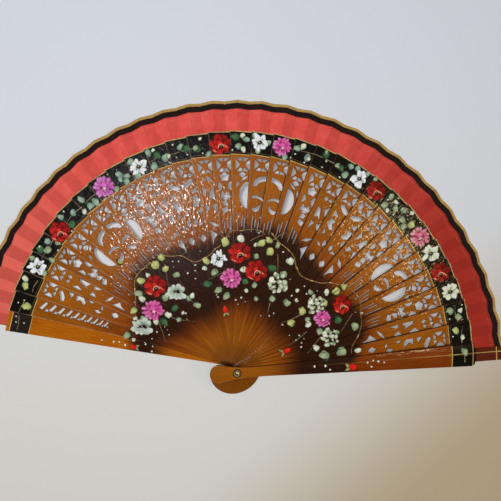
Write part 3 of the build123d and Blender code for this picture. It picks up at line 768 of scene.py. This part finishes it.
        # painted shade: a dark strip beside the next blade's raised edge, wider on the right-hand sticks
        corner = next_across - self.most(next_along * spread, NECK_HALF)
        rightward = self.step(self.index, *RIGHT_STICKS)
        reach = self.step(self.along, 45.0, 110.0) * (rightward * 0.55 + 0.4) + 0.35
        corner_shade = self.step(corner - reach, 0.0, -0.6) * self.step(corner, -0.6, -0.3)
        corner_shade = corner_shade * self.step(self.along, 8.0, 50.0) * 0.8
        # darker heads near the rivet: partly painted shade under the front guard's head, partly streaky wear
        head_shade_and_wear = self.step(self.radius, *HEAD_EDGE) * (self.streaks * 0.35 + 0.05)
        front = self.mix(self.most(corner_shade, head_shade_and_wear), front, PAINTED_SHADE_AND_WEAR)

        # a pale line along the left edge: partly a painted highlight, partly lacquer rubbed thin; weaker on
        # the right-hand sticks
        inset = self.most(self.along * spread, NECK_HALF) - self.across
        edge_breakup = self.noise(self.vector(self.along * 0.11, self.shift), 1.0, 3.0, 0.7)
        worn = self.step(inset, 0.46, 0.22) * self.step(edge_breakup - (self.dark * 0.14 + 0.30), 0.0, 0.22)
        worn = worn * (0.80 - self.most(self.in_band, self.dark) * 0.50)
        worn = worn * (self.step(self.radius, 40.0, 115.0) * 0.92 + 0.08) * (1.0 - rightward * 0.85)
        front = self.mix(worn, front, EDGE_HIGHLIGHT_AND_WEAR)

        # painted shade: darker rims round the holes, found by ambient occlusion inside the blade
        reach = {"Distance": RIM_REACH * MM}
        open_share = self.out("AmbientOcclusion", reach, "AO", samples=6, inside=True, only_local=True)
        rim = self.step(open_share, 0.94, 0.62) * (0.6 - self.in_band * 0.6)
        return self.mix(rim, front, CUT_WOOD_AND_RIM_SHADE)

    def finished(self):
        """The whole material: the painted front, the plain back, the darker cut sides, paint and lacquer."""
        caramel = self.caramel()
        front = self.band(self.airbrush(caramel), caramel)
        if self.stick:
            front = self.shade_and_wear(front)
        up = self.split(self.out("TexCoord", output="Normal"))[2]
        upward = self.step(up, 0.3, 0.6)
        colour = self.mix(self.step(up, -0.5, -0.7), CUT_WOOD_AND_RIM_SHADE, self.mix(0.3, caramel, self.tones[3]))
        colour = self.mix(upward, colour, front)

        # paint from the canvas, where the piece carries any
        cover = self.out("Attribute", output="Fac", attribute_name="cover")
        colour = self.mix(cover, colour, self.out("Attribute", output="Color", attribute_name="paint"))

        # lacquer: slow waves everywhere, and glossy flecks between dull patches on the pierced part
        wave = self.noise(self.stretched(1.0, 0.3), 0.35, 2.0)
        bumped = self.bump(self.streaks, 0.00010, 0.4)
        bumped = self.bump(wave, 0.0007, 0.3, Normal=bumped)
        gloss = (0.9 - cover * 0.7) * (upward * 0.9 + 0.1)
        if self.stick:
            pierced = self.step(self.radius, *PIERCED_FROM)
            ripple = self.noise(self.stretched(1.0, 0.55), 0.55, 1.0)
            bumped = self.bump(ripple * (pierced * 0.8 + 0.2), 0.00025, Normal=bumped)
            flecks = self.step(self.noise(self.stretched(1.0, 0.45), 0.75, 2.0), 0.50, 0.60)
            dull = (1.0 - flecks) * self.most(pierced, self.dark)
            gloss = gloss * (1.0 - dull * 0.94) * (1.0 - self.dark * 0.7)
        return self.finish(
            Base_Color=colour, Roughness=self.streaks * 0.10 + 0.25 + cover * 0.20, Specular_IOR_Level=0.15,
            Normal=bumped, Coat_Weight=gloss, Coat_Roughness=0.05, Coat_Normal=bumped,
        )


# ---- paint layers that lie on the blades ----
SKIN_CELL = 0.36
SKIN_LIFT = 0.018
SKIN_RELIEF = 0.036
SKIN_SINK = 0.02
BARE_CORNER = 0.22
BARE_EDGE = 0.34
SKIN_HALF_WIDTH = 10.0
SKIN_INNER_R = 36.0
LEAST_COVER = 0.02
CORNERS = ((0, 0), (0, 1), (1, 1), (1, 0))


def add_piece(name, mesh, material, sharp_deg):
    """An object with this mesh, shaded smoothly but for edges sharper than this angle."""
    mesh.shade_smooth()
    mesh.set_sharp_from_angle(angle=math.radians(sharp_deg))
    mesh.materials.append(material)
    piece = bpy.data.objects.new(name, mesh)
    bpy.context.collection.objects.link(piece)
    return piece


def left_edge(along):
    """How far a stick's left edge is from its middle line, at a distance along it."""
    return np.maximum(NECK_HALF, along * math.tan(math.radians(STICK_HALF_DEG)))


def guard_edge(along):
    """How far a guard's long edges are from its middle line."""
    spread = (GUARD_SHOULDER_HALF - NECK_HALF) / (SHOULDER_R - GUARD_NECK_R)
    return NECK_HALF + (along - GUARD_NECK_R) * spread


def left_bare(along, across, index):
    """True where no paint holds: under the next blade, beside its edge, and along the own left edge."""
    turn = math.radians(PITCH_DEG)
    next_along = along * math.cos(turn) - across * math.sin(turn)
    next_across = along * math.sin(turn) + across * math.cos(turn)
    next_edge = guard_edge(next_along) if index + 1 == BLADE_COUNT - 1 else left_edge(next_along)
    own_edge = left_edge(along) if 0 < index < BLADE_COUNT - 1 else guard_edge(along)
    covered = (next_across < next_edge + BARE_CORNER) & (index < BLADE_COUNT - 1)
    return covered | (across > own_edge - BARE_EDGE)


def at_corners(field):
    """Views of a grid's values at the four corners of each cell, anticlockwise."""
    rows, columns = field.shape[0] - 1, field.shape[1] - 1
    return [field[r : r + rows, c : c + columns] for r, c in CORNERS]


def corners_of(cells):
    """True at every corner of the marked cells."""
    marked = np.zeros((cells.shape[0] + 1, cells.shape[1] + 1), bool)
    for view in at_corners(marked):
        view |= cells
    return marked


def fill_corners(cells):
    """Fills one of two cells that touch only at a corner, so that the layer's rim is clean."""
    for _ in range(4):
        a, b, d, c = at_corners(cells)
        first = a & d & ~b & ~c
        second = b & c & ~a & ~d
        if not (first.any() or second.any()):
            break
        a |= second
        d &= ~first
    return cells


def canvas_samples(canvas, x, y):
    """The canvas's cover, relief and colour at these places, in millimetres."""
    column = (x - CANVAS_LOW[0]) / CANVAS_CELL
    row = (y - CANVAS_LOW[1]) / CANVAS_CELL
    c0 = np.clip(column.astype(int), 0, canvas.cover.shape[1] - 2)
    r0 = np.clip(row.astype(int), 0, canvas.cover.shape[0] - 2)
    u, v = np.clip(column - c0, 0, 1), np.clip(row - r0, 0, 1)

    def sample(field):
        low = field[r0, c0] * (1 - u) + field[r0, c0 + 1] * u
        high = field[r0 + 1, c0] * (1 - u) + field[r0 + 1, c0 + 1] * u
        return low * (1 - v) + high * v

    colour = np.stack([sample(canvas.colour[..., k]) for k in range(3)], -1)
    return sample(canvas.cover), sample(canvas.relief), colour


def face_heights(index, x, y, wanted):
    """The height of a blade's front face, in millimetres, at the wanted places; nan where there is none."""
    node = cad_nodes[blade_body(index)]
    tree = BVHTree.FromPolygons([v.co for v in node.data.vertices], [p.vertices for p in node.data.polygons])
    crown = FRONT_CROWN if index == BLADE_COUNT - 1 else 0.0
    start = blade_top(index) + 1
    heights = np.full(x.shape, np.nan)
    for r, c in zip(*np.nonzero(wanted)):
        above = Vector((x[r, c] * MM, y[r, c] * MM, start * MM))
        hit = tree.ray_cast(above, Vector((0, 0, -1)), (1.02 + crown) * MM)[0]
        if hit is not None:
            heights[r, c] = hit.z / MM
    return heights


def skin_faces(cells, number, count):
    """The faces of a layer over these cells: its top, its underside and its rim."""
    quads = np.stack([corner[cells] for corner in at_corners(number)], 1)
    faces = [quads[:, ::-1], quads + count]
    padded = np.pad(cells, 1)
    rows, columns = cells.shape
    for side, down, right in ((0, -1, 0), (2, 1, 0), (3, 0, -1), (1, 0, 1)):
        beside = padded[1 + down : 1 + down + rows, 1 + right : 1 + right + columns]
        row, column = np.nonzero(cells & ~beside)
        (r1, c1), (r2, c2) = CORNERS[side], CORNERS[(side + 1) % 4]
        first, second = number[row + r1, column + c1], number[row + r2, column + c2]
        faces.append(np.stack([first, second, second + count, first + count], 1))
    return np.vstack(faces)


def paint_skin(canvas, index, material):
    """The dried paint on one blade: a thin closed layer on its front face, where the canvas has paint."""
    columns = int(2 * SKIN_HALF_WIDTH / SKIN_CELL) + 1
    rows = int((SHOULDER_R - SKIN_INNER_R) / SKIN_CELL) + 1
    across_line = np.linspace(-SKIN_HALF_WIDTH, SKIN_HALF_WIDTH, columns)
    across, along = np.meshgrid(across_line, SKIN_INNER_R + np.arange(rows) * SKIN_CELL)
    turn = math.radians(blade_deg(index))
    x = along * math.cos(turn) - across * math.sin(turn)
    y = along * math.sin(turn) + across * math.cos(turn)
    cover, relief, colour = canvas_samples(canvas, x, y)
    painted = (cover > LEAST_COVER) & ~left_bare(along, across, index)
    wanted = np.logical_or.reduce(at_corners(painted))

    # a cell stays if the wood's front face is under all four of its corners
    surface = face_heights(index, x, y, corners_of(wanted))
    backed = np.logical_and.reduce(at_corners(~np.isnan(surface)))
    cells = fill_corners(wanted & backed) & backed
    if not cells.any():
        return
    used = corners_of(cells)
    count = int(used.sum())
    number = np.full(x.shape, -1)
    number[used] = np.arange(count)
    height = surface + SKIN_LIFT + SKIN_RELIEF * np.clip(relief, 0, 1) * np.clip(cover, 0, 1)
    tops = np.stack([x[used], y[used], height[used]], 1)
    bottoms = np.stack([x[used], y[used], surface[used] - SKIN_SINK], 1)
    name = f"paint_{blade_body(index)}"
    mesh = bpy.data.meshes.new(name)
    points = np.vstack([tops, bottoms]) * MM
    mesh.from_pydata(points.tolist(), [], skin_faces(cells, number, count).tolist())
    shown = np.ones((2 * count, 4), np.float32)
    shown[:, :3] = np.vstack([colour[used], colour[used]])
    mesh.attributes.new("paint", "FLOAT_COLOR", "POINT").data.foreach_set("color", shown.ravel())
    covers = np.tile(np.clip(cover[used], 0, 1), 2).astype(np.float32)
    mesh.attributes.new("cover", "FLOAT", "POINT").data.foreach_set("value", covers)
    piece = add_piece(name, mesh, material, 50)
    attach(piece, blade_body(index))
    "guard_wood" if index in (0, BLADE_COUNT - 1) else "stick_wood"


# ---- the cloth leaf ----
GOLD_EDGE = 2.25
BLACK_BORDER = 6.7
PALE_LINE = 9.1
LEAF_ROWS = 14
PANEL_COLUMNS = 5
THREAD = 0.42
PANEL_WIDTH = 2 * math.radians(PANEL_HALF_DEG) * LEAF_MOUNTAIN_R


def cloth_material():
    """Coral cotton with a fine weave, a gold edge, a black border and a faint gold line."""
    n = Nodes("leaf_cloth")
    across, inward, _ = (part / MM for part in n.split(n.out("UVMap", uv_map="cloth")))
    share = across / (PANEL_WIDTH * 2 * BLADE_COUNT)

    # the cotton: blotches; a darker right-hand side and a paler left-hand side, which are painted shade and
    # painted light; and darker glued panels, partly their own tone and partly painted pleat shade, stronger
    # at the left
    blotches = n.noise(n.vector(across, inward, 4.0), 0.12, 3.0, 0.6)
    cloth = n.ramp(blotches, (0.3, srgb(210, 76, 68)), (0.55, CORAL), (0.75, srgb(230, 98, 88)))
    cloth = n.mix(n.step(share, 0.50, 0.85) * 0.85, cloth, srgb(136, 30, 12))
    leftward = n.step(share, 0.34, 0.04)
    cloth = n.mix(leftward * 0.6, cloth, srgb(236, 118, 102))
    # darker glued panels: partly their own tone, partly painted pleat shade, stronger at the left
    glued = n.between(n.math("FRACT", across / (2 * PANEL_WIDTH)), 0.0, 0.5, 0.01)
    cloth = n.mix(glued * (leftward * 0.26 + 0.16), cloth, srgb(120, 24, 24))

    # the weave
    warp, weft = (n.math("SINE", part * (2 * math.pi / THREAD)) for part in (across, inward))
    weave = warp * weft
    slubs = n.noise(n.vector(across * 0.4, inward * 4.0), 1.0, 2.0)
    threads = n.math("ADD", weave * 0.10, slubs * 0.25, clamp=True)
    cloth = n.mix(threads, cloth, srgb(160, 36, 34))

    # the faint line, the black border and the gold edge
    wobble = n.noise(n.vector(across, inward * 0.4), 0.5, 3.0)
    edge = (wobble - 0.5) * 0.6 + inward
    line = n.between(edge, PALE_LINE - 0.12, PALE_LINE + 0.12, 0.12) * n.step(wobble, 0.42, 0.62) * 0.45
    colour = n.mix(line, cloth, srgb(208, 160, 100))
    border = n.mix(blotches, srgb(18, 10, 10), srgb(36, 22, 18))
    colour = n.mix(n.step(edge, BLACK_BORDER + 0.3, BLACK_BORDER - 0.3), colour, border)
    in_gold = n.step(edge + share * 0.2, GOLD_EDGE + 0.25, GOLD_EDGE - 0.25)
    gold = n.mix(n.noise(n.vector(across, inward, 9.0), 1.1, 3.0), srgb(112, 80, 32), srgb(206, 170, 100))
    colour = n.mix(in_gold, colour, gold)
    return n.finish(
        Base_Color=colour, Roughness=0.85 - in_gold * 0.35, Normal=n.bump(weave * 0.5 + slubs, 0.00004, 0.6),
        Sheen_Weight=0.06, Sheen_Roughness=0.5, Specular_IOR_Level=0.3,
    )


def fold_level(index, side):
    """A fold's height: side 1 is the mountain at the left of a blade's panel, -1 the valley at its right."""
    if index == 0:
        return REAR_TIP_THICKNESS + CLOTH_THICKNESS
    if index == BLADE_COUNT - 1:
        return FRONT_GUARD_Z + FRONT_TIP_UNDER - CLOTH_THICKNESS
    return blade_z(index) + CLOTH_LIFT + side * PLEAT_DEPTH


def fold(index, side):
    """A fold as (degrees, height, outer radius)."""
    outer = LEAF_MOUNTAIN_R if side > 0 else LEAF_VALLEY_R
    return blade_deg(index) + side * PANEL_HALF_DEG, fold_level(index, side), outer


def pleat_mesh(index, folds, random):
    """The mesh of one pleat, from fold to fold, with its map in flat millimetres of cloth."""
    lines = []
    for panel, (start, end) in enumerate(zip(folds, folds[1:])):
        bow = random.uniform(-0.12, 0.12)
        last = panel == len(folds) - 2
        for k in range(PANEL_COLUMNS + last):
            share = k / PANEL_COLUMNS
            degrees, level, outer = (a + (b - a) * share for a, b in zip(start, end))
            lines.append((degrees, level + bow * math.sin(math.pi * share), outer, panel + share))
    tops, maps = [], []
    for degrees, level, outer, place in lines:
        for row in range(LEAF_ROWS + 1):
            radius = LEAF_INNER_R + (outer - LEAF_INNER_R) * row / LEAF_ROWS
            x, y = spot(degrees, radius)
            tops.append((x * MM, y * MM, (level + CLOTH_THICKNESS / 2) * MM))
            maps.append(((place + 2 * index) * PANEL_WIDTH * MM, (outer - radius) * MM))
    bottoms = [(x, y, z - CLOTH_THICKNESS * MM) for x, y, z in tops]
    count, rows, columns = len(tops), LEAF_ROWS + 1, len(lines)
    faces = []
    for first in (c * rows + r for c in range(columns - 1) for r in range(rows - 1)):
        quad = (first, first + 1, first + rows + 1, first + rows)
        faces += [quad, tuple(corner + count for corner in (quad[0], *quad[:0:-1]))]
    rim = [c * rows for c in range(columns)] + [(columns - 1) * rows + r for r in range(1, rows)]
    rim += [c * rows + rows - 1 for c in reversed(range(columns - 1))] + list(reversed(range(1, rows - 1)))
    faces += [(a, b, b + count, a + count) for a, b in zip(rim, rim[1:] + rim[:1])]
    mesh = bpy.data.meshes.new(f"leaf_pleat_{index:02d}")
    mesh.from_pydata(tops + bottoms, [], faces)
    corners = np.array([loop.vertex_index for loop in mesh.loops]) % count
    mesh.uv_layers.new(name="cloth").data.foreach_set("uv", np.array(maps)[corners].ravel())
    return mesh


def leaf_pleat(index, material, random):
    """The panel glued to a blade and the panel that joins it to the next blade, as one thin closed cloth."""
    folds = [fold(index, 1), fold(index, -1)]
    if index < BLADE_COUNT - 1:
        folds.append(fold(index + 1, 1))
    piece = add_piece(f"leaf_pleat_{index:02d}", pleat_mesh(index, folds, random), material, 14)
    if index < BLADE_COUNT - 1:
        middle_r = (LEAF_INNER_R + LEAF_MOUNTAIN_R) / 2
        ends = [(*spot(degrees, middle_r), level) for degrees, level, _ in folds[1:]]
        start, end = (tuple(v * MM for v in p) for p in ends)
        blade_body(index)
        blade_body(index + 1)
        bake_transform(piece)
        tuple(start)
        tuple(end)
    else:
        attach(piece, blade_body(index))
    blade_body(index)
    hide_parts(f"leaf_section_{min(index // 2 + 1, 16):02d}")


# ---- metal ----
def metal_material(name, colour, worn, rough):
    """Polished metal with turned rings and darker, duller patches."""
    n = Nodes(name)
    x, y, _ = (part / MM for part in n.split(n.out("TexCoord", output="Object")))
    radius = n.math("SQRT", x * x + y * y)
    rings = n.noise(n.vector(radius, 0.0), 9.0, 3.0)
    spots = n.noise(n.vector(x, y), 1.4, 4.0, 0.7)
    shade = n.mix(n.step(spots, 0.45, 0.7), colour, worn)
    return n.finish(
        Base_Color=shade, Metallic=1.0, Roughness=spots * 0.25 + rough, Normal=n.bump(rings, 0.00003, 0.5)
    )


# ---- surroundings ----
CAMERA_PLACE = Vector((-13.13, 102.0, 336.15)) * MM
CAMERA_AIM = Vector((0.0537, -0.0258, -0.9982))
CAMERA_UP = Vector((-0.0697, 0.9971, -0.0295))
LENS_MM = 29.3
FLOOR_GAP = 0.05
TABLE_GLOW = 0.37
TABLE_LIGHT = 0.92
TABLE_HALF = 3.0


def add_camera():
    """The camera, at the place from which the fan is seen."""
    camera = bpy.data.cameras.new("camera")
    camera.lens = LENS_MM
    camera.sensor_width = 36.0
    camera.clip_start = 0.01
    holder = bpy.data.objects.new("camera", camera)
    bpy.context.collection.objects.link(holder)
    back = -CAMERA_AIM.normalized()
    right = CAMERA_UP.cross(back).normalized()
    up = back.cross(right)
    turn = Matrix((right, up, back)).transposed()
    holder.matrix_world = Matrix.Translation(CAMERA_PLACE) @ turn.to_4x4()
    bpy.context.scene.camera = holder


def add_light(name, place, aim, size, watts, colour, in_gloss=True):
    """A square soft light at place, turned towards aim."""
    light = bpy.data.lights.new(name, "AREA")
    light.shape = "SQUARE"
    light.size = size
    light.energy = watts
    light.color = colour
    holder = bpy.data.objects.new(name, light)
    bpy.context.collection.objects.link(holder)
    holder.location = place
    holder.rotation_euler = (Vector(aim) - Vector(place)).to_track_quat("-Z", "Y").to_euler()
    holder.visible_glossy = in_gloss


def add_floor():
    """A plain pale table, with a painted cool tint of light at the back and a painted warm shade at the
    front right, partly lit from inside, so that it stays pale under the pierced wood."""
    n = Nodes("table")
    place = n.out("TexCoord", output="Object")
    x, y, _ = n.split(place)
    backward = n.noise(place, 6.0, 3.0) * 0.1 + y
    # painted light and shade: a cool tint towards the back and a darker warm patch at the front right
    colour = n.mix(n.step(backward, -0.10, 0.32), srgb(214, 213, 207), srgb(211, 216, 225))
    colour = n.mix(n.step((x - y) * 0.7, 0.04, 0.20), colour, srgb(182, 166, 138))
    material = n.finish(
        Base_Color=n.mix(TABLE_GLOW, colour, (0.0, 0.0, 0.0)), Roughness=0.8, Specular_IOR_Level=0.2,
        Emission_Color=colour, Emission_Strength=TABLE_GLOW * TABLE_LIGHT,
        Normal=n.bump(n.noise(place, 900.0), 0.00005, 0.3),
    )
    mesh = bpy.data.meshes.new("table")
    corners = [(x * TABLE_HALF, y * TABLE_HALF, 0) for x, y in ((-1, -1), (1, -1), (1, 1), (-1, 1))]
    mesh.from_pydata(corners, [], [(0, 1, 2, 3)])
    mesh.materials.append(material)
    floor = bpy.data.objects.new("table", mesh)
    bpy.context.collection.objects.link(floor)
    floor.location.z = -FLOOR_GAP * MM


def add_world():
    """A dim pale room, brighter towards the horizon."""
    world = bpy.data.worlds.new("world")
    world.use_nodes = True
    nodes, links = world.node_tree.nodes, world.node_tree.links
    height = nodes.new("ShaderNodeSeparateXYZ")
    links.new(nodes.new("ShaderNodeTexCoord").outputs["Generated"], height.inputs[0])
    strength = nodes.new("ShaderNodeMapRange")
    links.new(height.outputs[2], strength.inputs["Value"])
    for key, value in (("From Min", 0.15), ("From Max", 0.65), ("To Min", 0.30), ("To Max", 0.03)):
        strength.inputs[key].default_value = value
    background = nodes["Background"]
    background.inputs[0].default_value = (0.92, 0.95, 1.0, 1.0)
    links.new(strength.outputs[0], background.inputs[1])
    bpy.context.scene.world = world


# ---- the scene ----
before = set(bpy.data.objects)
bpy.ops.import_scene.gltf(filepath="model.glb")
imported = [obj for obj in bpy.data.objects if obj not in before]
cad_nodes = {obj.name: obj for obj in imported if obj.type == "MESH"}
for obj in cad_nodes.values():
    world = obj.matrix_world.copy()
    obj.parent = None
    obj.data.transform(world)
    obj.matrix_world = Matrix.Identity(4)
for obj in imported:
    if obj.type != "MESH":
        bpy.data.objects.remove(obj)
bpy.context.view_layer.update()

bpy.context.scene.view_settings.view_transform = "Standard"
add_camera()
add_world()
add_floor()
add_light("window", (-0.22, 0.15, 1.05), (0, 0.08, 0), 0.14, 6.2, (1.0, 0.98, 0.96), in_gloss=False)
add_light("ceiling", (0.03, 0.24, 0.95), (0, 0.09, 0), 0.40, 1.3, (0.96, 0.98, 1.0), in_gloss=False)
add_light("glare", (-0.183, 0.162, 0.67), (-0.070, 0.122, 0), 0.08, 1.1, (0.98, 0.97, 1.0))
add_light("glint", (0.36, 0.12, 0.65), (0.11, 0.108, 0), 0.12, 0.6, (1.0, 0.78, 0.40))

stick_wood = Wood("stick_wood", STICK_TONES).finished()
rear_wood = Wood("rear_guard_wood", REAR_TONES, guard=0).finished()
front_wood = Wood("front_guard_wood", FRONT_TONES, guard=BLADE_COUNT - 1).finished()
blade_materials = [rear_wood] + [stick_wood] * STICK_COUNT + [front_wood]
painting = paint_everything()
for blade, material in enumerate(blade_materials):
    for material_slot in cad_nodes[blade_body(blade)].material_slots:
        material_slot.material = material
    paint_skin(painting, blade, material)

cloth = cloth_material()
pleat_random = np.random.default_rng(5)
for blade in range(BLADE_COUNT):
    leaf_pleat(blade, cloth, pleat_random)

dome_metal = metal_material("dome_metal", srgb(238, 222, 172), srgb(132, 106, 56), 0.20)
ring_metal = metal_material("ring_metal", srgb(150, 118, 44), srgb(66, 50, 18), 0.22)
for node, material in (("rivet", dome_metal), ("front_washer", ring_metal)):
    for material_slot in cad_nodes[node].material_slots:
        material_slot.material = material
